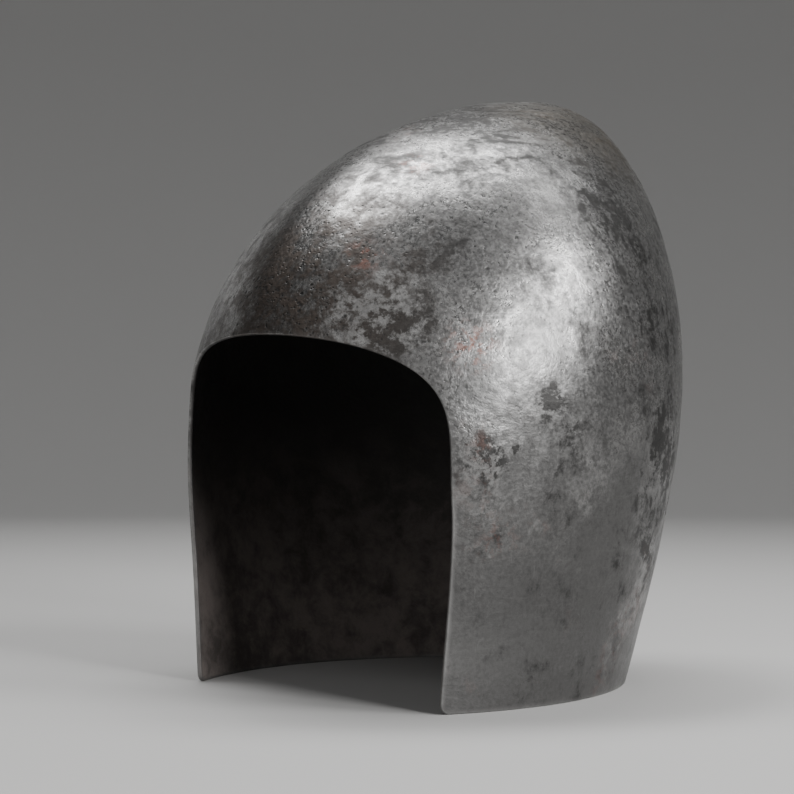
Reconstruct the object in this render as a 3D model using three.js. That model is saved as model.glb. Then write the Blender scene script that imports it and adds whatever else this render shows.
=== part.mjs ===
// One-piece open-faced helmet, raised from a single sheet of steel.
// Millimetres. The front looks along -Y, +X is the wearer's left, +Z is up.
// The flat rim lies at z = 0, and the origin is under the middle of the whole.
import * as THREE from 'three';

// Skull: the closed shape that the sheet follows, before the face is cut out.
// Each line runs from the rim to its fullest height, and from there to the crown.
const skullHeight = 255;
const skullWidth = 205;
const widthAtRim = 166;
const widestHeight = 117;
// Reach of the front and the back from the crown point, at the fullest height and at the rim.
const frontReach = 183.6;
const frontReachAtRim = 189.2;
const frontFullHeight = 59;
const backReach = 44.7;
const backReachAtRim = 20;
const backFullHeight = 154.5;

// Face opening: how far each cheek wraps in from the skull's widest line, and where it arches.
const cheekWrapAtRim = 14.5;
const cheekWrapAtShoulder = 24.5;
const shoulderHeight = 77;
const browHeight = 143.3;
const cheekCorner = 4;
// Share of the shoulder's height over which the cheek edge turns from upright to its straight slant.
const cheekSoftShare = 0.15;

// Sheet.
const wall = 1.9;
const edgeEase = 0.4;

// How the lines bend. The soft share is how slowly each one turns in below its fullest height, where
// 0 would be a straight taper. The two powers shape the dome above: a larger bend power stays upright
// for longer, and a larger round power closes in later.
const bends = {
  side: { softShare: 0.5, bendPower: 2, roundPower: 1.71 },
  front: { softShare: 1, bendPower: 3.1, roundPower: 1.65 },
  back: { softShare: 0.5, bendPower: 2, roundPower: 2.94 },
};

// Powers of the level section at the rim and at the crown, for its front and its back: 2 is an
// ellipse, and less draws up a ridge along the middle line.
const ridges = {
  front: { rimPower: 1.85, crownPower: 1.5 },
  back: { rimPower: 1.9, crownPower: 1.85 },
};

// Arch of the brow: powers of its rise and of its closing to the middle.
const arch = { risePower: 4.77, closePower: 2.05 };

// Facets on each side of the middle line along the edge, and from the middle of the back to the edge.
const edgeSteps = { arch: 13, cheek: 7, corner: 4, rim: 17 };
const rows = 20;

// Halvings in the search for a point of the skull, and the step that its slope is measured over.
const searchSteps = 50;
const probe = 0.02;
const up = new THREE.Vector3(0, 0, 1);

// Share of a taper's way that is done, for the share of its height that is dropped: a hyperbola,
// level at its start and then nearly straight.
function taperAt(dropped, softShare) {
  return (Math.hypot(dropped, softShare) - softShare) / (Math.hypot(1, softShare) - softShare);
}

// Reach of a line at height z, from its fullest reach, its height and its reach at the rim.
function reachAt(z, full, fullHeight, atRim, line) {
  if (z > fullHeight) {
    const climbed = Math.min((z - fullHeight) / (skullHeight - fullHeight), 1);
    return full * (1 - climbed ** line.bendPower) ** (1 / line.roundPower);
  }
  return THREE.MathUtils.lerp(full, atRim, taperAt((fullHeight - z) / fullHeight, line.softShare));
}

// Level section of the skull at height z. It is widest where its front and back halves curve alike,
// so that no crease runs down the sides.
function sectionAt(z) {
  const climbed = z / skullHeight;
  const front = -reachAt(z, frontReach, frontFullHeight, frontReachAtRim, bends.front);
  const back = reachAt(z, backReach, backFullHeight, backReachAtRim, bends.back);
  const frontPower = THREE.MathUtils.lerp(ridges.front.rimPower, ridges.front.crownPower, climbed);
  const backPower = THREE.MathUtils.lerp(ridges.back.rimPower, ridges.back.crownPower, climbed);
  const widestShare = Math.sqrt(backPower) / (Math.sqrt(frontPower) + Math.sqrt(backPower));
  return {
    half: reachAt(z, skullWidth / 2, widestHeight, widthAtRim / 2, bends.side),
    front,
    back,
    middle: THREE.MathUtils.lerp(front, back, widestShare),
    frontPower,
    backPower,
  };
}

// Zero on the skull, below zero inside it and above zero outside.
function outside(point) {
  if (point.z >= skullHeight) return 1;
  const cut = sectionAt(point.z);
  const ahead = point.y < cut.middle;
  const depth = ahead ? cut.middle - cut.front : cut.back - cut.middle;
  const power = ahead ? cut.frontPower : cut.backPower;
  return Math.abs(point.x / cut.half) ** power + ((point.y - cut.middle) / depth) ** 2 - 1;
}

// Outward normal of the skull, from the slope of outside().
function normalAt(point) {
  const slope = ['x', 'y', 'z'].map((axis) => {
    const ahead = point.clone();
    const behind = point.clone();
    ahead[axis] += probe;
    behind[axis] -= probe;
    return outside(ahead) - outside(behind);
  });
  return new THREE.Vector3(...slope).normalize();
}

// Point of the skull's front at a given distance from the middle plane and height.
function frontPoint(x, z) {
  const cut = sectionAt(z);
  const fill = 1 - Math.min(Math.abs(x) / cut.half, 1) ** cut.frontPower;
  return new THREE.Vector3(x, cut.middle - (cut.middle - cut.front) * Math.sqrt(fill), z);
}

// Half width of the face opening at its shoulder, and at any height below.
const shoulderHalf = sectionAt(shoulderHeight).half - cheekWrapAtShoulder;
function openingHalf(z) {
  const rimHalf = widthAtRim / 2 - cheekWrapAtRim;
  return THREE.MathUtils.lerp(shoulderHalf, rimHalf, taperAt(1 - z / shoulderHeight, cheekSoftShare));
}

// A stretch of the edge, given as a function of 0 to 1.
class EdgeLine extends THREE.Curve {
  constructor(at) {
    super();
    this.at = at;
  }

  getPoint(t) {
    return this.at(t);
  }
}

// Brow: from the middle of the arch to its shoulder.
function archPoint(t) {
  const turn = (1 - t) * Math.PI / 2;
  const rise = Math.sin(turn) ** (2 / arch.risePower);
  const x = shoulderHalf * Math.cos(turn) ** (2 / arch.closePower);
  return frontPoint(x, THREE.MathUtils.lerp(shoulderHeight, browHeight, rise));
}

// Cheek edge: from the shoulder down to the rounded corner.
function cheekPoint(t) {
  const z = THREE.MathUtils.lerp(shoulderHeight, cheekCorner, t);
  return frontPoint(openingHalf(z), z);
}

// Rounded corner of the cheek, a quarter turn that ends on the rim. The sheet runs slantwise there,
// so a step along it moves less than its length away from the middle plane.
const slant = new THREE.Vector3().crossVectors(up, normalAt(frontPoint(openingHalf(0), 0))).normalize().x;
function cornerPoint(t) {
  const turn = t * Math.PI / 2;
  const z = cheekCorner * (1 - Math.sin(turn));
  const along = cheekCorner * (1 - Math.cos(turn));
  return frontPoint(openingHalf(z) + along * slant, z);
}

// Rim: from the corner round the side to the middle of the back.
const rimStart = cornerPoint(1);
function rimPoint(t) {
  const cut = sectionAt(0);
  const start = Math.asin((cut.middle - rimStart.y) / (cut.middle - cut.front));
  const turn = THREE.MathUtils.lerp(-start, Math.PI / 2, t);
  const ahead = turn < 0;
  const depth = ahead ? cut.middle - cut.front : cut.back - cut.middle;
  const power = ahead ? cut.frontPower : cut.backPower;
  const x = cut.half * Math.abs(Math.cos(turn)) ** (2 / power);
  return new THREE.Vector3(x, cut.middle + depth * Math.sin(turn), 0);
}

// The whole edge as one loop: the left half, then its mirror image back to the brow.
function edgeLoop() {
  const stretches = [
    [archPoint, edgeSteps.arch],
    [cheekPoint, edgeSteps.cheek],
    [cornerPoint, edgeSteps.corner],
    [rimPoint, edgeSteps.rim],
  ];
  const left = [archPoint(0)];
  for (const [at, steps] of stretches) {
    left.push(...new EdgeLine(at).getSpacedPoints(steps).slice(1));
  }
  left[0].x = 0;
  left.at(-1).x = 0;
  const right = left.slice(1, -1).reverse().map((point) => new THREE.Vector3(-point.x, point.y, point.z));
  return [...left, ...right];
}

// At each point of the edge: the sheet's normal, the way out of the sheet along its surface, and the
// way through its thickness, which is level on the rim so that the rim is flat.
function edgeFrames(loop) {
  return loop.map((point, i) => {
    const normal = normalAt(point);
    const before = loop.at(i - 1);
    const after = loop[(i + 1) % loop.length];
    const along = after.clone().sub(before).normalize();
    const out = new THREE.Vector3().crossVectors(along, normal).normalize();
    const level = normal.clone().setZ(0);
    level.divideScalar(level.lengthSq());
    const rimShare = Math.max(0, 1 - point.z / cheekCorner);
    const through = normal.clone().lerp(level, rimShare).negate();
    return { point, normal, out, through };
  });
}

// Point of the skull met by a ray from its centre.
function castOut(centre, way) {
  const ray = new THREE.Ray(centre, way);
  const point = new THREE.Vector3();
  let near = 0;
  let far = skullHeight + frontReach;
  for (let i = 0; i < searchSteps; i += 1) {
    const middle = (near + far) / 2;
    if (outside(ray.at(middle, point)) < 0) near = middle;
    else far = middle;
  }
  return ray.at(near, new THREE.Vector3());
}

// Way that lies a given share of the turn from one direction to another.
function turnedWay(from, to, share) {
  const axis = new THREE.Vector3().crossVectors(from, to).normalize();
  return from.clone().applyAxisAngle(axis, from.angleTo(to) * share);
}

// Rings of points on the outer face, spreading from the middle of the back of the skull to the
// eased edge, and the matching rings on the inner face.
function sheetRings(frames) {
  const middle = sectionAt(widestHeight).middle;
  const centre = new THREE.Vector3(0, middle, widestHeight);
  const setBack = frames.map((f) => f.point.clone().addScaledVector(f.out, -edgeEase));
  const ways = setBack.map((point) => point.clone().sub(centre).normalize());
  const pole = new THREE.Vector3();
  ways.forEach((way) => pole.sub(way));
  pole.setX(0).normalize();
  const outer = [[castOut(centre, pole)]];
  for (let row = 1; row < rows; row += 1) {
    outer.push(ways.map((way) => castOut(centre, turnedWay(pole, way, row / rows))));
  }
  const inner = outer.map((ring) => ring.map((point) => point.clone().addScaledVector(normalAt(point), -wall)));
  outer.push(setBack);
  inner.push(setBack.map((point, i) => point.clone().addScaledVector(frames[i].through, wall)));
  return { outer, inner };
}

// The edge face between the two eased corners.
function landRings(frames) {
  return [edgeEase, wall - edgeEase].map((depth) => (
    frames.map((f) => f.point.clone().addScaledVector(f.through, depth))
  ));
}

// One closed body: outer face from the pole to the edge, over the edge, and back along the inner face.
function skullGeometry() {
  const frames = edgeFrames(edgeLoop());
  const { outer, inner } = sheetRings(frames);
  const rings = [...outer, ...landRings(frames), ...inner.reverse()];
  const firsts = [];
  const positions = [];
  for (const ring of rings) {
    firsts.push(positions.length / 3);
    ring.forEach((point) => positions.push(point.x, point.y, point.z));
  }
  const count = frames.length;
  const index = [];
  for (let r = 1; r < rings.length; r += 1) {
    for (let i = 0; i < count; i += 1) {
      const next = (i + 1) % count;
      const a = firsts[r - 1] + (rings[r - 1].length > 1 ? i : 0);
      const b = firsts[r - 1] + (rings[r - 1].length > 1 ? next : 0);
      const c = firsts[r] + (rings[r].length > 1 ? i : 0);
      const d = firsts[r] + (rings[r].length > 1 ? next : 0);
      // The diagonals of the two sides mirror each other.
      const corners = i < count / 2 ? [a, c, d, a, d, b] : [a, c, b, b, c, d];
      for (let k = 0; k < corners.length; k += 3) {
        const face = corners.slice(k, k + 3);
        if (new Set(face).size === 3) index.push(...face);
      }
    }
  }
  const geometry = new THREE.BufferGeometry();
  geometry.setAttribute('position', new THREE.Float32BufferAttribute(positions, 3));
  geometry.setIndex(index);
  return geometry;
}

// The skull is centred front to back over the origin.
function helmetSkull() {
  const geometry = skullGeometry();
  geometry.computeBoundingBox();
  const { min, max } = geometry.boundingBox;
  geometry.translate(0, -(min.y + max.y) / 2, 0);
  geometry.computeVertexNormals();
  const steel = new THREE.MeshStandardMaterial({ color: 0x6f6e6c, roughness: 0.42, metalness: 0.9 });
  const mesh = new THREE.Mesh(geometry, steel);
  mesh.name = 'helmet_skull';
  return mesh;
}

const group = new THREE.Group();
group.add(helmetSkull());

export default group;
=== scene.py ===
import math
from types import SimpleNamespace
import bpy
import numpy as np
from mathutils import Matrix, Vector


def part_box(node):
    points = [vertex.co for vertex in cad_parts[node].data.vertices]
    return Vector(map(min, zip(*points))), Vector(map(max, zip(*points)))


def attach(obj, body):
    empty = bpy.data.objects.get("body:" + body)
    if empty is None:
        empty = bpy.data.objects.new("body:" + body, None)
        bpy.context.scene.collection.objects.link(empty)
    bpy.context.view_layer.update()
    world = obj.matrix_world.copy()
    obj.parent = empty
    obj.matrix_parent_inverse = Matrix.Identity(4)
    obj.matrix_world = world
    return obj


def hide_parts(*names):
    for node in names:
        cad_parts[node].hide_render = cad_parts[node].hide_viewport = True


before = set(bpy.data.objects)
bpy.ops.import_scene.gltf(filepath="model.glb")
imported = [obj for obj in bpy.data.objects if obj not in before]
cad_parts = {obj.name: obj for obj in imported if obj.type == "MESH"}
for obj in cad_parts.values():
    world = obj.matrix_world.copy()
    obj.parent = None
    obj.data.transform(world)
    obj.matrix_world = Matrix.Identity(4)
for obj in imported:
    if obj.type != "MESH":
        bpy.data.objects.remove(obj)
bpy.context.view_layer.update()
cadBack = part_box("helmet_skull")[1][1]
print("frame loaded")

# Camera, metres and degrees: the photo's view of the helmet from its front left
camera = {
    "azimuth": 43.0,
    "elevation": -1.113,
    "distance": 0.8053,
    "target": (-0.0186, -0.0063, 0.1207),
    "focalPixels": 1860.1,
    "imagePixels": 794,
    "sensor": 36.0,
    "nearest": 0.01,
}


# Puts a camera or lamp at target + distance x (sin a cos e, -cos a cos e, sin e), facing the target.
# Azimuth 0 is in front of the face, and 90 is on the wearer's left.
def standAt(item, values, target):
    azimuth, elevation = math.radians(values["azimuth"]), math.radians(values["elevation"])
    back = np.array([
        math.sin(azimuth) * math.cos(elevation),
        -math.cos(azimuth) * math.cos(elevation),
        math.sin(elevation),
    ])
    item.location = np.array(target) + values["distance"] * back
    item.rotation_euler = (math.pi / 2 - elevation, 0, azimuth)
    bpy.context.scene.collection.objects.link(item)


# Lens in millimetres = focal length in pixels x sensor width / image width
def addCamera(values):
    data = bpy.data.cameras.new("camera")
    data.sensor_width = values["sensor"]
    data.lens = values["focalPixels"] * values["sensor"] / values["imagePixels"]
    data.clip_start = values["nearest"]
    eye = bpy.data.objects.new("camera", data)
    standAt(eye, values, values["target"])
    bpy.context.scene.camera = eye


addCamera(camera)
print("camera placed")

# Skull, metres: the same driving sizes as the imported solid
skull = {
    "height": 0.255,
    "width": 0.205,
    "widthAtRim": 0.166,
    "widestHeight": 0.117,
    "frontReach": 0.1836,
    "frontReachAtRim": 0.1892,
    "frontFullHeight": 0.059,
    "backReach": 0.0447,
    "backReachAtRim": 0.020,
    "backFullHeight": 0.1545,
    "cheekWrapAtRim": 0.0145,
    "cheekWrapAtShoulder": 0.0245,
    "shoulderHeight": 0.077,
    "browHeight": 0.1433,
    "cheekCorner": 0.004,
    "cheekSoft": 0.15,
    "wall": 0.0019,
    "edgeEase": 0.0004,
    "sideBend": (0.5, 2.0, 1.71),       # soft, bend and round of each line
    "frontBend": (1.0, 3.1, 1.65),
    "backBend": (0.5, 2.0, 2.94),
    "frontRidge": (1.85, 1.5),          # power of the level section at rim and crown
    "backRidge": (1.9, 1.85),
    "archRise": 4.77,
    "archClose": 2.05,
    "archSteps": 56,
    "cheekSteps": 30,
    "cornerSteps": 10,
    "rimSteps": 64,
    "rows": 84,
    "easeSteps": 4,
    "holdBack": (0.0015, 0.0007, 0.0002),   # extra rings beside the edge, and how worn each one is
    "holdWear": (0.1, 0.45, 0.85),
    "probe": 0.00002,                   # step that the slope of the surface is measured over
    "lineSamples": 2001,
    "rayLength": 0.5,
    "halvings": 44,
    "dentWaves": 26,
    "dentLengths": (0.014, 0.05),       # shortest and longest wave
    "dentShare": 6,                     # the waves' sum is divided by this
    "dentLevel": 1.2,                   # where it is over this, the steel stays as it is
    "dentDepth": 0.00016,               # and each unit below it goes this far in
    "dentFade": (12, 0.3),              # slope and start of the fade towards the edge
    "dentSeed": 7,
}


# Share of a taper that is done: a hyperbola, level at its start and then nearly straight
def taperAt(dropped, soft):
    return (np.hypot(dropped, soft) - soft) / (math.hypot(1, soft) - soft)


# reach = full (1 - t^bend)^(1/round) above the fullest height, and a taper to the rim below it
def reachAt(z, full, fullHeight, atRim, line):
    soft, bend, roundness = line
    climbed = np.clip((z - fullHeight) / (skull["height"] - fullHeight), 0, 1)
    dropped = np.clip((fullHeight - z) / fullHeight, 0, None)
    above = full * (1 - climbed ** bend) ** (1 / roundness)
    return np.where(z > fullHeight, above, full + (atRim - full) * taperAt(dropped, soft))


# Level section: half width, front and back ends, the place where it is widest, and its two powers.
# It is widest where the two halves curve alike, so no crease runs down the sides.
def sectionAt(z):
    climbed = z / skull["height"]
    cut = SimpleNamespace()
    cut.half = reachAt(
        z, skull["width"] / 2, skull["widestHeight"], skull["widthAtRim"] / 2, skull["sideBend"])
    cut.front = -reachAt(
        z, skull["frontReach"], skull["frontFullHeight"], skull["frontReachAtRim"], skull["frontBend"])
    cut.back = reachAt(
        z, skull["backReach"], skull["backFullHeight"], skull["backReachAtRim"], skull["backBend"])
    cut.frontPower = skull["frontRidge"][0] + (skull["frontRidge"][1] - skull["frontRidge"][0]) * climbed
    cut.backPower = skull["backRidge"][0] + (skull["backRidge"][1] - skull["backRidge"][0]) * climbed
    share = np.sqrt(cut.backPower) / (np.sqrt(cut.frontPower) + np.sqrt(cut.backPower))
    cut.middle = cut.front + (cut.back - cut.front) * share
    return cut


# Depth and power of the half that a point is in, the front one or the back one
def halfAt(cut, ahead):
    depth = np.where(ahead, cut.middle - cut.front, cut.back - cut.middle)
    return depth, np.where(ahead, cut.frontPower, cut.backPower)


# |x / half|^power + (y / depth)^2 - 1: zero on the skull and below zero inside it
def outside(points):
    x, y, z = points[..., 0], points[..., 1], points[..., 2]
    nearlyAll = 1 - 1e-9
    cut = sectionAt(np.minimum(z, skull["height"] * nearlyAll))
    depth, power = halfAt(cut, y < cut.middle)
    value = np.abs(x / cut.half) ** power + ((y - cut.middle) / depth) ** 2 - 1
    return np.where(z >= skull["height"], 1.0, value)


# Outward normal: the slope of outside(), from differences along each axis
def normalAt(points):
    steps = np.eye(3) * skull["probe"]
    slope = np.stack([outside(points + step) - outside(points - step) for step in steps], -1)
    return slope / np.linalg.norm(slope, axis=-1, keepdims=True)


# Front of the skull at a distance x from the middle plane and a height z:
# y = middle - (middle - front) sqrt(1 - |x / half|^power)
def frontPoint(x, z):
    cut = sectionAt(z)
    fill = 1 - np.minimum(np.abs(x) / cut.half, 1) ** cut.frontPower
    return np.stack([x, cut.middle - (cut.middle - cut.front) * np.sqrt(fill), z + 0 * x], -1)


# Half the opening's width: a taper from the shoulder to the rim
def openingHalf(z):
    rimHalf = skull["widthAtRim"] / 2 - skull["cheekWrapAtRim"]
    shoulder = np.array(skull["shoulderHeight"])
    shoulderHalf = sectionAt(shoulder).half - skull["cheekWrapAtShoulder"]
    return shoulderHalf + (rimHalf - shoulderHalf) * taperAt(1 - z / shoulder, skull["cheekSoft"])


# Arch of the brow, from the middle to the shoulder, a quarter of a superellipse:
# height = sin(turn)^(2 / archRise) and x = cos(turn)^(2 / archClose), as shares of the arch
def archLine(t):
    turn = (1 - t) * math.pi / 2
    rise = np.sin(turn) ** (2 / skull["archRise"])
    x = openingHalf(skull["shoulderHeight"]) * np.abs(np.cos(turn)) ** (2 / skull["archClose"])
    return frontPoint(x, skull["shoulderHeight"] + (skull["browHeight"] - skull["shoulderHeight"]) * rise)


# Front edge of the cheek: even steps in height, from the shoulder to the corner
def cheekLine(t):
    z = skull["shoulderHeight"] + (skull["cheekCorner"] - skull["shoulderHeight"]) * t
    return frontPoint(openingHalf(z), z)


# Rounded corner of the cheek: a quarter turn that ends on the rim, slanting with the sheet
def cornerLine(t):
    start = normalAt(frontPoint(openingHalf(np.zeros(1)), np.zeros(1)))[0]
    slant = -start[1] / math.hypot(start[0], start[1])
    turn = t * math.pi / 2
    z = skull["cheekCorner"] * (1 - np.sin(turn))
    return frontPoint(openingHalf(z) + skull["cheekCorner"] * (1 - np.cos(turn)) * slant, z)


# Rim, from the corner round the side to the middle of the back: x and y by the powers of cos and sin
def rimLine(t):
    cut = sectionAt(np.zeros(1))
    start = np.arcsin((cut.middle - cornerLine(np.ones(1))[0, 1]) / (cut.middle - cut.front))
    turn = -start + (math.pi / 2 + start) * t
    depth, power = halfAt(cut, turn < 0)
    x = cut.half * np.abs(np.cos(turn)) ** (2 / power)
    return np.stack([x, cut.middle + depth * np.sin(turn), 0 * x], -1)


# Points spaced evenly by length along a line given as a function of 0 to 1
def spacedPoints(line, steps):
    fine = np.linspace(0, 1, skull["lineSamples"])
    points = line(fine)
    length = np.concatenate([[0], np.cumsum(np.linalg.norm(np.diff(points, axis=0), axis=1))])
    return line(np.interp(np.linspace(0, length[-1], steps + 1), length, fine))


# The whole edge as one loop: the left half, then its mirror image back to the brow
def edgeLoop():
    stretches = [
        (archLine, skull["archSteps"]),
        (cheekLine, skull["cheekSteps"]),
        (cornerLine, skull["cornerSteps"]),
        (rimLine, skull["rimSteps"]),
    ]
    spaced = [spacedPoints(line, steps) for line, steps in stretches]
    left = np.concatenate([spaced[0]] + [points[1:] for points in spaced[1:]])
    left[[0, -1], 0] = 0
    return np.concatenate([left, left[-2:0:-1] * [-1, 1, 1]])


# Hammer marks: min(sum of sin(k . p + phase) over slow waves - level, 0), so they only go inwards. They
# fade out towards the edge, where share is 1, so the rim stays flat.
def hammerMarks(points, share):
    rng = np.random.default_rng(skull["dentSeed"])
    total = np.zeros(points.shape[:-1])
    for wave in range(skull["dentWaves"]):
        way = rng.normal(size=3)
        way *= 2 * math.pi / (rng.uniform(*skull["dentLengths"]) * np.linalg.norm(way))
        total += np.sin(points @ way + rng.uniform(0, 2 * math.pi))
    slope, start = skull["dentFade"]
    fade = np.clip((1 - share) * slope - start, 0, 1)
    return np.minimum(total / skull["dentShare"] - skull["dentLevel"], 0) * fade * skull["dentDepth"]


# Directions at each point of the edge: out, past the edge and along the sheet, and through, which is the
# inward normal. At the rim through is level, and as long as the slanting sheet measures along the floor.
def edgeWays(loop):
    normal = normalAt(loop)
    along = np.roll(loop, -1, 0) - np.roll(loop, 1, 0)
    out = np.cross(along, normal)
    out /= np.linalg.norm(out, axis=1, keepdims=True)
    level = normal * [1, 1, 0]
    level /= (level ** 2).sum(1, keepdims=True)
    rimShare = np.clip(1 - loop[:, 2:] / skull["cheekCorner"], 0, 1)
    return out, -(normal + (level - normal) * rimShare)


# Rings over the outer and the inner face, from the pole at the back to the edge: each ring turns a fixed
# share of the way from the pole's direction to the edge's, and a ray from the skull's centre finds the
# surface by halving. The inner face is the outer one, a wall further in.
def faceRings(edge):
    widest = skull["widestHeight"]
    centre = np.array([0, float(sectionAt(np.array(widest)).middle), widest])
    ways = edge - centre
    ways /= np.linalg.norm(ways, axis=1, keepdims=True)
    pole = -ways.sum(0) * [0, 1, 1]
    pole /= np.linalg.norm(pole)
    angle = np.arccos(ways @ pole)[None, :, None]
    share = (np.arange(skull["rows"]) / (skull["rows"] + 1))[:, None, None]
    turned = (np.sin((1 - share) * angle) * pole + np.sin(share * angle) * ways) / np.sin(angle)
    near = np.zeros(turned.shape[:2] + (1,))
    far = near + skull["rayLength"]
    for halving in range(skull["halvings"]):
        middle = (near + far) / 2
        within = outside(centre + middle * turned)[..., None] < 0
        near, far = np.where(within, middle, near), np.where(within, far, middle)
    outer = centre + near * turned
    outerNormal = normalAt(outer)
    outer = outer + outerNormal * hammerMarks(outer, share[..., 0])[..., None]
    return outer, outer - outerNormal * skull["wall"]


# Rings over the edge: a few beside it to hold the face, then a quarter circle over each of its two corners,
# back by ease (1 - sin turn) and through the sheet by ease (1 - cos turn)
def edgeRings(loop, out, through):
    ease, wall = skull["edgeEase"], skull["wall"]
    held = loop - out * (np.array(skull["holdBack"])[:, None, None] + ease)
    turn = np.linspace(0, math.pi / 2, skull["easeSteps"] + 1)[:, None, None]
    eased = loop - out * ease * (1 - np.sin(turn))
    corner = eased + through * ease * (1 - np.cos(turn))
    innerCorner = eased + through * (wall - ease * (1 - np.cos(turn)))
    return np.concatenate([held, corner, innerCorner[::-1], (held + through * wall)[::-1]])


# Quads between neighbouring rings: point j of ring i, then of ring i + 1, then point j + 1 of both
def ringQuads(rows, count):
    here = np.arange(count)
    after = np.roll(here, -1)
    base = (np.arange(rows - 1) * count)[:, None]
    quads = np.stack([base + here, base + count + here, base + count + after, base + after], -1)
    return quads.reshape(-1, 4)


# Object with a smooth mesh
def addMesh(name, vertices, faces):
    mesh = bpy.data.meshes.new(name)
    mesh.from_pydata(vertices.tolist(), [], faces)
    mesh.polygons.foreach_set("use_smooth", np.ones(len(mesh.polygons), bool))
    piece = bpy.data.objects.new(name, mesh)
    bpy.context.scene.collection.objects.link(piece)
    return piece


# One closed sheet, its rings joined by quads, with a fan at each pole
def addSkull():
    loop = edgeLoop()
    out, through = edgeWays(loop)
    outer, inner = faceRings(loop - out * skull["edgeEase"])
    rings = edgeRings(loop, out, through)
    stack = np.concatenate([outer[1:], rings, inner[:0:-1]])
    rows, count = stack.shape[:2]
    vertices = np.concatenate([stack.reshape(-1, 3), outer[0, :1], inner[0, :1]])
    vertices[:, 1] += cadBack - skull["backReach"]
    here = np.arange(count)
    after = np.roll(here, -1)
    last = (rows - 1) * count
    outerFan = np.stack([rows * count + 0 * here, here, after], -1)
    innerFan = np.stack([last + after, last + here, rows * count + 1 + 0 * here], -1)
    faces = ringQuads(rows, count).tolist() + outerFan.tolist() + innerFan.tolist()
    piece = addMesh("helmet_steel", vertices, faces)

    # How far through the sheet each ring lies, 0 outside to 1 inside, and how worn it is, 1 on the edge;
    # low down this wear is also a painted highlight along the edge
    half = len(rings) // 2
    plain = np.zeros(len(outer) - 1)
    inside = np.concatenate([plain, np.zeros(half), np.ones(half), plain + 1])
    wornAndHighlighted = np.concatenate([plain, skull["holdWear"], np.ones(half - len(skull["holdWear"]))])
    wornAndHighlighted = np.concatenate([wornAndHighlighted, wornAndHighlighted[::-1]])
    for name, values in (("sheetDepth", inside), ("edgeWearAndHighlight", wornAndHighlighted)):
        layer = piece.data.attributes.new(name, "FLOAT", "POINT")
        perPoint = np.concatenate([np.repeat(values, count), values[[0, -1]]])
        layer.data.foreach_set("value", perPoint.astype(np.float32))
    piece.data.update()
    return piece
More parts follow.
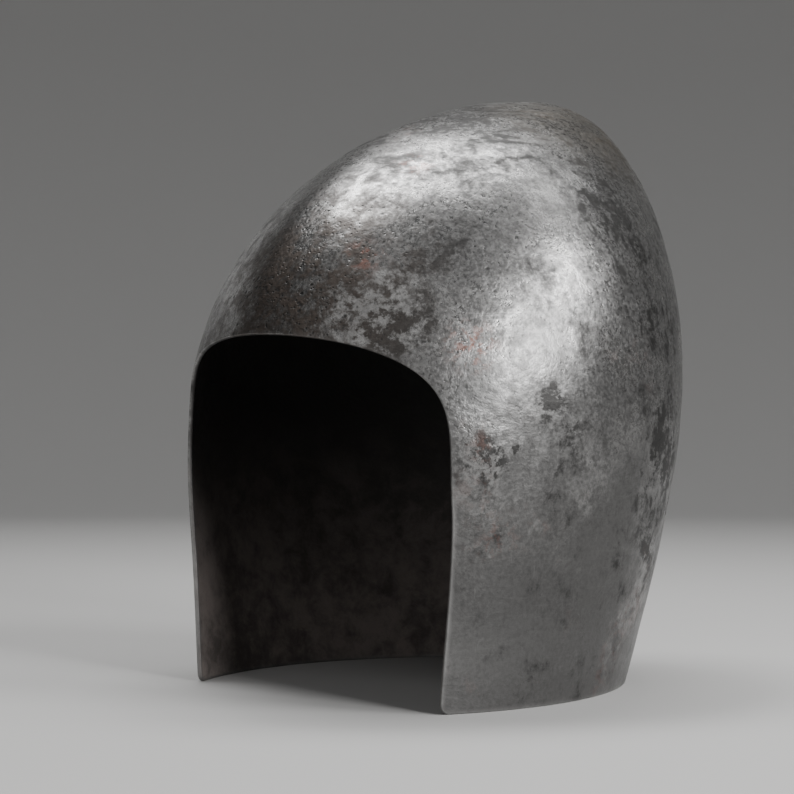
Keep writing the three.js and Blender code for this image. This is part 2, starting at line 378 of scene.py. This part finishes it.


# Steel: colours as linear red, green and blue. A mark has its place on the surface, its reach and its
# strength. A patina mark with a strength below zero takes patina off; the two such marks are a painted
# highlight, paler steel on the side highlight.
steel = {
    "bright": (0.30, 0.297, 0.292),
    "plain": (0.145, 0.143, 0.141),
    "patina": (0.040, 0.039, 0.038),
    "brown": (0.085, 0.070, 0.061),
    "tan": (0.20, 0.172, 0.135),
    "rust": (0.17, 0.065, 0.045),
    "inside": (0.026, 0.024, 0.023),
    "insideLow": (0.24, 0.205, 0.19),
    "patinaAndPaintedHighlightMarks": [
        {"place": (0.014, -0.100, 0.160), "reach": 0.036, "strength": 0.08},
        {"place": (0.042, -0.092, 0.151), "reach": 0.034, "strength": 0.10},
        {"place": (0.058, -0.086, 0.144), "reach": 0.026, "strength": 0.06},
        {"place": (0.056, -0.066, 0.176), "reach": 0.022, "strength": 0.06},
        {"place": (0.076, 0.013, 0.204), "reach": 0.024, "strength": 0.08},
        {"place": (0.087, 0.010, 0.180), "reach": 0.028, "strength": 0.08},
        {"place": (0.096, 0.022, 0.150), "reach": 0.026, "strength": 0.09},
        {"place": (0.097, 0.025, 0.108), "reach": 0.028, "strength": 0.08},
        {"place": (0.094, -0.043, 0.118), "reach": 0.012, "strength": 0.15},
        # Below zero: painted highlight, paler steel where the side highlight falls
        {"place": (0.090, -0.050, 0.129), "reach": 0.018, "strength": -0.08},
        {"place": (0.077, -0.071, 0.121), "reach": 0.020, "strength": -0.06},
        {"place": (0.095, -0.037, 0.102), "reach": 0.022, "strength": 0.07},
        {"place": (0.078, -0.074, 0.083), "reach": 0.030, "strength": 0.05},
        {"place": (0.083, -0.065, 0.096), "reach": 0.014, "strength": 0.18},
        {"place": (0.087, -0.055, 0.099), "reach": 0.0036, "strength": 0.50},
        {"place": (0.098, 0.013, 0.090), "reach": 0.018, "strength": 0.08},
        {"place": (0.096, 0.035, 0.070), "reach": 0.060, "strength": 0.07},
        {"place": (0.018, -0.006, 0.238), "reach": 0.040, "strength": 0.10},
    ],
    "rustMarks": [
        {"place": (0.076, -0.067, 0.138), "reach": 0.014, "strength": 1.0},
        {"place": (0.036, -0.083, 0.172), "reach": 0.012, "strength": 0.8},
        {"place": (0.030, -0.048, 0.215), "reach": 0.012, "strength": 0.7},
    ],
    "scratchMarks": [
        {"place": (0.086, -0.016, 0.178), "reach": 0.016, "strength": 1.0},
        {"place": (0.057, -0.048, 0.191), "reach": 0.016, "strength": 0.8},
        {"place": (0.099, -0.005, 0.145), "reach": 0.030, "strength": 0.5},
        {"place": (0.079, -0.071, 0.109), "reach": 0.020, "strength": 0.6},
        {"place": (0.080, -0.058, 0.145), "reach": 0.034, "strength": 0.6},
    ],
    "regions": {
        "brow": {"place": (0.012, -0.098, 0.158), "reach": 0.075, "strength": 1.0},
        "cheek": {"place": (0.085, -0.056, 0.056), "reach": 0.095, "strength": 1.0},
        "side": {"place": (0.092, 0.015, 0.165), "reach": 0.075, "strength": 1.0},
        "crown": {"place": (0.047, 0.041, 0.240), "reach": 0.055, "strength": 0.4},
    },
    # Noises, from broad to fine, then streaks and scratches, which are stretched along one way
    "noises": {
        "slow": {"scale": 21.0, "detail": 3.0, "roughness": 0.5, "distortion": 0.5},
        "clouds": {
            "scale": 36.0, "detail": 7.0, "roughness": 0.68, "distortion": 0.35,
            "stretch": (1, 1, 1.3)},
        "ragged": {"scale": 105.0, "detail": 6.0, "roughness": 0.72, "distortion": 0.25},
        "rustGrain": {"scale": 230.0, "detail": 5.0, "roughness": 0.75, "distortion": 0.2},
        "flecks": {"scale": 290.0, "detail": 4.0, "roughness": 0.72, "distortion": 0.2},
        "grain": {"scale": 640.0, "detail": 3.0, "roughness": 0.75},
        "level": {
            "scale": 46.0, "detail": 5.0, "roughness": 0.65, "distortion": 0.8,
            "stretch": (1, 1, 6)},
        "upright": {
            "scale": 30.0, "detail": 5.0, "roughness": 0.65, "distortion": 0.5,
            "stretch": (4, 4, 1)},
        "strokes": {
            "scale": 1.0, "detail": 3.0, "roughness": 0.6, "distortion": 0.4,
            "stretch": (60, 60, 800), "turn": (0.1, 0.08, 0)},
        "slants": {
            "scale": 1.0, "detail": 3.0, "roughness": 0.6, "distortion": 0.3,
            "stretch": (400, 400, 60), "turn": (0.5, -0.4, 0)},
    },
    # Weighted sums of the patterns
    "mixes": {
        "wander": {"slow": 0.30, "clouds": 0.2, "depth": 0.12},
        "patina": {"clouds": 0.48, "ragged": 0.36, "flecks": 0.16},
        "torn": {"ragged": 0.5, "flecks": 0.5},
        "haze": {"clouds": 0.35, "ragged": 0.4, "flecks": 0.25},
        "cheekHazeAndShade": {"clouds": 0.5, "ragged": 0.5},
        "browned": {"clouds": 0.3, "ragged": 0.45, "flecks": 0.25},
        "inside": {"slow": 0.4, "ragged": 0.6},
        "relief": {"ragged": 0.24, "flecks": 0.15, "grain": 0.09},
    },
    # Smooth steps, each as low, high, start and end: as a value goes from low to high, the result goes from
    # start to end
    "steps": {
        "lively": (0.03, 0.16, 0.45, 1.0),
        "torn": (0.42, 0.57, 0.3, 1.5),
        "high": (0.19, 0.235, 0.0, 1.0),
        "highStreaks": (0.45, 0.66, 0.0, 0.14),
        "low": (0.14, 0.06, 0.0, 1.0),
        "lowStreaks": (0.4, 0.65, -0.05, 0.02),
        "sideStreaks": (0.42, 0.6, -0.09, 0.06),
        "patinaClimb": (0.06, 0.17, -0.01, 0.012),
        "veil": (0.48, 0.65, 0.0, 0.58),
        "blots": (0.55, 0.65, 0.0, 0.34),
        "haze": (0.43, 0.58, 0.0, 1.0),
        # Thicker haze low down and on the cheek: dulling, and also painted shade
        "lowHazeAndShade": (0.04, 0.16, 0.75, 0.0),
        "cheekHazeAndShade": (0.4, 0.6, 0.3, 1.15),
        "browned": (0.42, 0.56, 0.12, 1.0),
        "speckle": (0.35, 0.65, -0.2, 0.2),
        # Painted shade low down, with the rim itself a little lighter
        "paintedRimShade": (0.01, 0.045, 1.08, 0.8),
        "paintedLowShade": (0.05, 0.16, 0.8, 1.0),
        "pitEdge": (0.06, 0.34, 1.0, 0.0),
        "dots": (0.38, 0.32, 0.0, 1.0),
        "rustGrain": (0.50, 0.56, 0.0, 1.0),
        "fewRust": (0.60, 0.72, 0.0, 0.25),
        "strokes": (0.58, 0.66, 0.0, 1.0),
        "slants": (0.68, 0.76, 0.0, 0.25),
        "inside": (0.38, 0.62, 0.35, 1.0),
        "insideLow": (0.13, 0.0, 0.0, 1.0),
        "wornPatches": (0.35, 0.6, 0.9, 0.5),
        # Wear stronger low down: partly a painted highlight along the low edges
        "lowWearAndHighlight": (0.11, 0.06, 0.25, 1.0),
        "hazeRough": (0.0, 1.0, 0.26, 0.40),
        "grainRough": (0.3, 0.7, -0.05, 0.05),
        "metal": (0.0, 1.0, 0.93, 0.25),
    },
    "pits": [
        {"scale": 300.0, "rare": (0.57, 0.68, 0.0, 1.0)},
        {"scale": 520.0, "rare": (0.54, 0.65, 0.0, 1.0)},
    ],
    "pitClusters": {"detail": 3.0, "roughness": 0.7},
    "clusterBreadth": 5,                # in pits' widths
    "pitsMoreAtBrow": 0.13,
    "pitsDeeperAtBrow": 0.8,
    "wanderLevel": 0.246,               # what the wandering adds on average
    "cheekCalm": 0.2,
    # Painted shade on the cheek
    "paintedCheekShade": 0.13,
    "pitDark": 0.8,
    "dotDark": 0.6,
    "rustCover": 0.75,
    "rustLessMetal": 0.5,
    "scratchCover": 0.6,
    "scratchAnywhere": 0.08,
    "patinaRough": 0.10,
    "insideRough": 0.3,
    "scratchedRelief": 1.5,
    "cloudRelief": 0.7,
    "pitRelief": 0.13,
    "bumpStrength": 0.5,
    "bumpDepth": 0.0012,
}


# A node tree, with a short method for each kind of node in it
class NodeBench:
    def __init__(self, tree):
        self.tree = tree
        tree.nodes.clear()

    def add(self, kind, **settings):
        node = self.tree.nodes.new("ShaderNode" + kind)
        for name, value in settings.items():
            setattr(node, name, value)
        return node

    def join(self, source, target):
        self.tree.links.new(source, target)

    # Joins a value that is another node's socket, or sets it as a constant
    def put(self, value, socket):
        if hasattr(value, "links"):
            self.join(value, socket)
        else:
            socket.default_value = value

    # One sum of two values, each a socket or a constant, such as the four below
    def maths(self, operation, first, second):
        node = self.add("Math", operation=operation)
        self.put(first, node.inputs[0])
        self.put(second, node.inputs[1])
        return node.outputs[0]

    def plus(self, first, second):
        return self.maths("ADD", first, second)

    def minus(self, first, second):
        return self.maths("SUBTRACT", first, second)

    def times(self, first, second):
        return self.maths("MULTIPLY", first, second)

    def larger(self, first, second):
        return self.maths("MAXIMUM", first, second)

    # Noise between 0 and 1, and about 0.5 on average, of the place times the stretch
    def noise(self, place, scale, detail, roughness, distortion=0.0, stretch=None, turn=(0, 0, 0)):
        if stretch:
            mapping = self.add("Mapping")
            self.join(place, mapping.inputs["Vector"])
            mapping.inputs["Scale"].default_value = stretch
            mapping.inputs["Rotation"].default_value = turn
            place = mapping.outputs[0]
        node = self.add("TexNoise")
        self.join(place, node.inputs["Vector"])
        settings = {"Scale": scale, "Detail": detail, "Roughness": roughness, "Distortion": distortion}
        for name, value in settings.items():
            node.inputs[name].default_value = value
        return node.outputs[0]

    # Smooth step, t^2 (3 - 2t) of the way from start to end, t of the way from low to high
    def span(self, value, low, high, start, end):
        node = self.add("MapRange", interpolation_type="SMOOTHSTEP")
        self.join(value, node.inputs["Value"])
        settings = {"From Min": low, "From Max": high, "To Min": start, "To Max": end}
        for name, number in settings.items():
            node.inputs[name].default_value = number
        return node.outputs["Result"]

    def step(self, value, name):
        return self.span(value, *steel["steps"][name])

    # Sum of weight x pattern over a row of the mixes
    def mix(self, at, name):
        total = 0.0
        for pattern, weight in steel["mixes"][name].items():
            total = self.plus(self.times(vars(at)[pattern], weight), total)
        return total

    # Colour (1 - factor) first + factor second, or their product
    def blend(self, factor, first, second, kind="MIX"):
        node = self.add("Mix", data_type="RGBA", blend_type=kind)
        self.put(factor, node.inputs[0])
        for socket, colour in ((node.inputs[6], first), (node.inputs[7], second)):
            self.put((*colour, 1) if isinstance(colour, tuple) else colour, socket)
        return node.outputs[2]

    # Strength at the mark's place, falling to nothing at its reach
    def nearTo(self, place, mark):
        node = self.add("VectorMath", operation="DISTANCE")
        self.join(place, node.inputs[0])
        node.inputs[1].default_value = mark["place"]
        return self.span(node.outputs["Value"], 0.0, mark["reach"], mark["strength"], 0.0)

    # Sum of nearTo over a list of marks
    def marked(self, place, marks):
        total = 0.0
        for mark in marks:
            total = self.plus(self.nearTo(place, mark), total)
        return total


# What the finish is worked out from: coordinates, the mesh's two attributes, noises and regions
def steelPatterns(bench):
    at = SimpleNamespace(place=bench.add("TexCoord").outputs["Object"])
    parts = bench.add("SeparateXYZ")
    bench.join(at.place, parts.inputs[0])
    at.depth = parts.outputs["Y"]
    at.height = parts.outputs["Z"]
    at.inside = bench.add("Attribute", attribute_name="sheetDepth").outputs["Fac"]
    at.wear = bench.add("Attribute", attribute_name="edgeWearAndHighlight").outputs["Fac"]
    for name, noise in steel["noises"].items():
        setattr(at, name, bench.noise(at.place, **noise))
    for name, region in steel["regions"].items():
        setattr(at, name, bench.nearTo(at.place, region))
    at.scratched = bench.marked(at.place, steel["scratchMarks"])
    # Height with a ragged edge to it, so that no level line parts the lively skull from the dull cheeks
    at.rise = bench.minus(bench.plus(at.height, bench.mix(at, "wander")), steel["wanderLevel"])
    at.lively = bench.minus(bench.step(at.rise, "lively"), bench.times(at.cheek, steel["cheekCalm"]))
    return at


# Dark patina, where mottling, streaks and marks add up to enough: a soft veil and harder blots
def patinaAmount(bench, at):
    # Marks below zero take patina off, and there they are a painted highlight
    marks = bench.marked(at.place, steel["patinaAndPaintedHighlightMarks"])
    torn = bench.times(bench.step(bench.mix(at, "torn"), "torn"), marks)
    total = bench.plus(bench.mix(at, "patina"), torn)
    high = bench.step(at.height, "high")
    total = bench.plus(total, bench.times(high, bench.step(at.level, "highStreaks")))
    low = bench.step(at.rise, "low")
    total = bench.plus(total, bench.times(low, bench.step(at.upright, "lowStreaks")))
    total = bench.plus(total, bench.times(at.side, bench.step(at.upright, "sideStreaks")))
    total = bench.plus(total, bench.step(at.rise, "patinaClimb"))
    return bench.plus(bench.step(total, "veil"), bench.step(total, "blots"))


# Dull haze on the bright steel, even and thick low down and on the cheek. There it is also painted shade,
# as it darkens the colour as well as dulling it
def hazeAmount(bench, at):
    haze = bench.times(bench.step(bench.mix(at, "haze"), "haze"), at.lively)
    haze = bench.plus(haze, bench.step(at.rise, "lowHazeAndShade"))
    return bench.plus(haze, bench.times(at.cheek, bench.step(bench.mix(at, "cheekHazeAndShade"), "cheekHazeAndShade")))


# Steel with its haze, patina, browned brow and tan crown, speckled, and with painted shade by height:
# darker in a band low down and on the cheek, a little lighter right at the rim
def outerColour(bench, at, haze, patina):
    colour = bench.blend(haze, steel["bright"], steel["plain"])
    colour = bench.blend(patina, colour, steel["patina"])
    browned = bench.times(at.brow, bench.step(bench.mix(at, "browned"), "browned"))
    colour = bench.blend(browned, colour, steel["brown"])
    colour = bench.blend(at.crown, colour, steel["tan"])
    speckle = bench.times(bench.step(at.grain, "speckle"), at.lively)
    # Painted shade: the colour is multiplied down in a band low down and on the cheek, and up a little
    # right at the rim
    paintedShade = bench.larger(bench.step(at.height, "paintedRimShade"), bench.step(at.rise, "paintedLowShade"))
    paintedShade = bench.minus(paintedShade, bench.times(at.cheek, steel["paintedCheekShade"]))
    return bench.blend(1.0, colour, bench.plus(speckle, paintedShade), "MULTIPLY")


# Pits: the middles of the cells of two cell patterns, in clusters, more and deeper at the brow
def pitAmount(bench, at):
    total = 0.0
    for pit in steel["pits"]:
        cells = bench.add("TexVoronoi")
        bench.join(at.place, cells.inputs["Vector"])
        cells.inputs["Scale"].default_value = pit["scale"]
        cluster = bench.noise(at.place, pit["scale"] / steel["clusterBreadth"], **steel["pitClusters"])
        cluster = bench.plus(cluster, bench.times(at.brow, steel["pitsMoreAtBrow"]))
        spots = bench.step(cells.outputs["Distance"], "pitEdge")
        total = bench.larger(bench.times(spots, bench.span(cluster, *pit["rare"])), total)
    return bench.times(total, bench.plus(at.lively, bench.times(at.brow, steel["pitsDeeperAtBrow"])))


# Rust: small flecks at the rust marks, and a few elsewhere
def rustAmount(bench, at):
    where = bench.larger(bench.marked(at.place, steel["rustMarks"]), bench.step(at.slow, "fewRust"))
    return bench.times(bench.step(at.rustGrain, "rustGrain"), where)


# Scratches: short level strokes, most of them at the scratch marks, and a few slanting ones
def scratchAmount(bench, at):
    where = bench.plus(at.scratched, steel["scratchAnywhere"])
    strokes = bench.times(bench.step(at.strokes, "strokes"), where)
    return bench.plus(strokes, bench.step(at.slants, "slants"))


# Inner face: dark and dull, paler and redder low down
def insideColour(bench, at):
    pale = bench.times(bench.step(bench.mix(at, "inside"), "inside"), bench.step(at.height, "insideLow"))
    return bench.blend(pale, steel["inside"], steel["insideLow"])


# Relief: shallow roughness, stronger where the steel is lively or scratched, with broad swells and pits
def reliefNormal(bench, at, pits):
    coarse = bench.plus(bench.times(at.scratched, steel["scratchedRelief"]), at.lively)
    relief = bench.times(bench.mix(at, "relief"), coarse)
    relief = bench.plus(relief, bench.times(at.clouds, steel["cloudRelief"]))
    relief = bench.minus(relief, bench.times(pits, steel["pitRelief"]))
    bump = bench.add("Bump")
    bump.inputs["Strength"].default_value = steel["bumpStrength"]
    bump.inputs["Distance"].default_value = steel["bumpDepth"]
    bench.join(relief, bump.inputs["Height"])
    return bump.outputs[0]


# The whole finish: colour, roughness and metal from the layers above, and their relief
def wornSteel():
    material = bpy.data.materials.new("wornSteel")
    material.use_nodes = True
    bench = NodeBench(material.node_tree)
    at = steelPatterns(bench)
    haze = hazeAmount(bench, at)
    patina = patinaAmount(bench, at)
    pits = pitAmount(bench, at)
    rust = rustAmount(bench, at)

    # Colour: each layer lies over the ones before it
    colour = outerColour(bench, at, haze, patina)
    dots = bench.times(bench.step(at.flecks, "dots"), at.lively)
    dark = bench.larger(bench.times(pits, steel["pitDark"]), bench.times(dots, steel["dotDark"]))
    colour = bench.blend(dark, colour, steel["patina"])
    colour = bench.blend(bench.times(rust, steel["rustCover"]), colour, steel["rust"])
    scratches = bench.times(scratchAmount(bench, at), steel["scratchCover"])
    colour = bench.blend(scratches, colour, steel["bright"])
    colour = bench.blend(at.inside, colour, insideColour(bench, at))
    # Pale edges: wear, and low down, where it is strongest, also a painted highlight along the edge
    wornAndHighlighted = bench.times(at.wear, bench.step(at.clouds, "wornPatches"))
    wornAndHighlighted = bench.times(wornAndHighlighted, bench.step(at.height, "lowWearAndHighlight"))
    colour = bench.blend(wornAndHighlighted, colour, steel["bright"])

    rough = bench.plus(bench.step(haze, "hazeRough"), bench.times(patina, steel["patinaRough"]))
    rough = bench.plus(rough, bench.step(at.grain, "grainRough"))
    rough = bench.plus(rough, bench.times(at.inside, steel["insideRough"]))
    metal = bench.step(bench.minus(at.inside, at.wear), "metal")
    metal = bench.minus(metal, bench.times(rust, steel["rustLessMetal"]))

    shader = bench.add("BsdfPrincipled")
    bench.join(colour, shader.inputs["Base Color"])
    bench.join(rough, shader.inputs["Roughness"])
    bench.join(metal, shader.inputs["Metallic"])
    bench.join(reliefNormal(bench, at, pits), shader.inputs["Normal"])
    bench.join(shader.outputs[0], bench.add("OutputMaterial").inputs[0])
    return material


helmet = addSkull()
helmet.data.materials.append(wornSteel())
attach(helmet, "root")
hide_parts("helmet_skull")
print("helmet made,", len(helmet.data.polygons), "faces")

# Floor: a wide dish, flat in the middle and curved up all round, with a plain pale finish
floor = {
    "flatRadius": 1.6,
    "bend": 1.2,
    "wallHeight": 1.4,
    "innerRings": (0.3, 0.8),
    "bendSteps": 24,
    "segments": 96,
    "colour": (0.44, 0.436, 0.43),
    "roughness": 0.8,
}


# Profile turned about Z: a flat, then a quarter circle, radius = flat + bend sin t and
# height = bend (1 - cos t), then a straight wall
def addFloor(values):
    turn = np.linspace(0, math.pi / 2, values["bendSteps"])
    radius = np.concatenate([values["innerRings"], values["flatRadius"] + values["bend"] * np.sin(turn)])
    height = np.concatenate([np.zeros(len(values["innerRings"])), values["bend"] * (1 - np.cos(turn))])
    radius = np.append(radius, radius[-1])
    height = np.append(height, height[-1] + values["wallHeight"])
    around = np.linspace(0, 2 * math.pi, values["segments"], endpoint=False)[None, :]
    rings = np.stack([
        radius[:, None] * np.cos(around),
        radius[:, None] * np.sin(around),
        height[:, None] + 0 * around,
    ], -1)
    vertices = np.concatenate([rings.reshape(-1, 3), [[0, 0, 0]]])
    here = np.arange(values["segments"])
    fan = np.stack([len(vertices) - 1 + 0 * here, here, np.roll(here, -1)], -1)
    quads = ringQuads(len(radius), values["segments"])
    dish = addMesh("floor", vertices, quads.tolist() + fan.tolist())
    paint = bpy.data.materials.new("palePaint")
    paint.use_nodes = True
    shader = paint.node_tree.nodes["Principled BSDF"]
    shader.inputs["Base Color"].default_value = (*values["colour"], 1)
    shader.inputs["Roughness"].default_value = values["roughness"]
    dish.data.materials.append(paint)


addFloor(floor)
print("floor laid")

# Lights: soft panels round the helmet, each placed by azimuth, elevation and distance from its middle
studio = {
    "middle": (0, 0, 0.12),
    "skyColour": (0.8, 0.82, 0.85),
    "skyStrength": 0.1,
}
panels = {
    "leftPanel": {"azimuth": -83, "elevation": 73, "distance": 1.4, "size": (0.5, 0.36), "power": 11},
    "backPanel": {"azimuth": -148, "elevation": 74, "distance": 1.4, "size": (0.66, 0.38), "power": 9},
    "turnPanel": {"azimuth": 146, "elevation": 61, "distance": 1.4, "size": (0.5, 0.34), "power": 1.8},
    "sidePanel": {"azimuth": 107, "elevation": 38, "distance": 1.4, "size": (0.42, 0.44), "power": 10},
    "lowPanel": {"azimuth": 84, "elevation": 21, "distance": 1.4, "size": (0.36, 0.28), "power": 16.5},
    "fillPanel": {"azimuth": 25, "elevation": 42, "distance": 1.7, "size": (1.0, 0.8), "power": 3.4},
    "leftFill": {"azimuth": -100, "elevation": 20, "distance": 1.5, "size": (1.0, 0.45), "power": 0.4},
    "lowFill": {"azimuth": 10, "elevation": 8, "distance": 1.5, "size": (0.8, 0.5), "power": 1.2},
}


# Rectangular lamp that faces the helmet's middle
def addPanel(name, values):
    data = bpy.data.lights.new(name, "AREA")
    data.shape = "RECTANGLE"
    data.size, data.size_y = values["size"]
    data.energy = values["power"]
    standAt(bpy.data.objects.new(name, data), values, studio["middle"])


# Faint even light from all round
def addSky(values):
    world = bpy.data.worlds.new("studio")
    world.use_nodes = True
    sky = world.node_tree.nodes["Background"]
    sky.inputs["Color"].default_value = (*values["skyColour"], 1)
    sky.inputs["Strength"].default_value = values["skyStrength"]
    bpy.context.scene.world = world


for name, values in panels.items():
    addPanel(name, values)
addSky(studio)
print("lights set")
